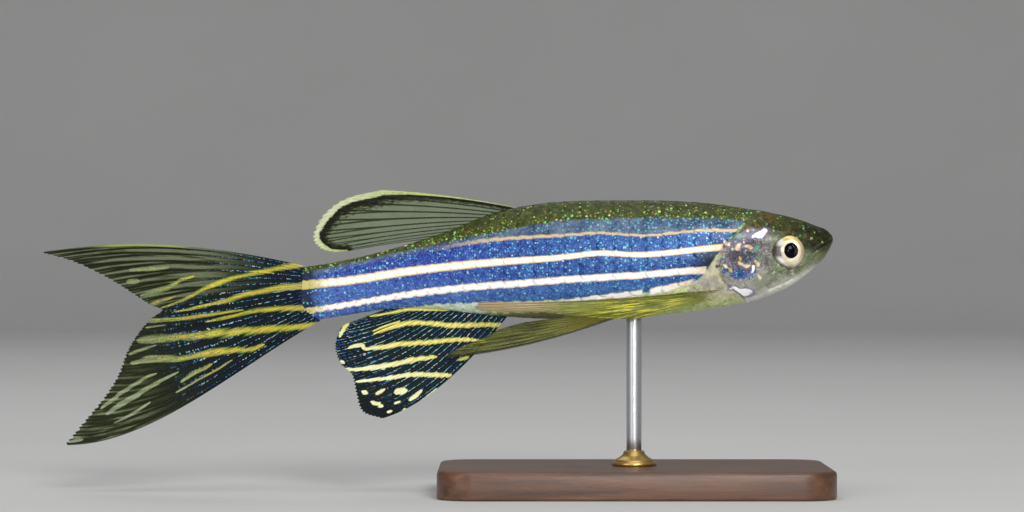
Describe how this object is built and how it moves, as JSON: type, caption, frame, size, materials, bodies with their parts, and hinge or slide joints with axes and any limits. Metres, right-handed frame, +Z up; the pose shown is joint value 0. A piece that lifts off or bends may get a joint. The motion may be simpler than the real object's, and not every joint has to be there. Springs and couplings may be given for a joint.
{
  "type": "zebra danio",
  "caption": "Slim striped fish with long trailing fins, posed swimming on a slender rod above a flat rounded base.",
  "frame": {"origin": "centre of the flat underside of the display stand's base", "axes": "+X towards the fish's head, along its body; +Z up; the fish's right side faces -Y"},
  "size_m": [0.0569, 0.016, 0.0217],
  "materials": {
    "scaled_skin": "gloss",
    "gill_cover_skin": "gloss",
    "striped_fin": "satin",
    "clear_fin": "satin",
    "eye": "polished",
    "barbel": "satin",
    "dark_wood": "satin",
    "steel_rod": "satin",
    "brass_collar": "satin"
  },
  "bodies": {
    "root": {"head": "scaled_skin", "lower_jaw": "scaled_skin", "trunk": "scaled_skin", "tail": "scaled_skin", "gill_cover_right": "gill_cover_skin", "gill_cover_left": "gill_cover_skin", "eye_right": "eye", "eye_left": "eye", "barbel_right": "barbel", "barbel_left": "barbel", "dorsal_fin": "clear_fin", "anal_fin": "striped_fin", "caudal_fin_upper_lobe": "striped_fin", "caudal_fin_lower_lobe": "striped_fin", "pectoral_fin_right": "clear_fin", "pectoral_fin_left": "clear_fin", "pelvic_fin_right": "clear_fin", "pelvic_fin_left": "clear_fin", "stand_base": "dark_wood", "stand_collar": "brass_collar", "stand_rod": "steel_rod"}
  },
  "joints": []
}
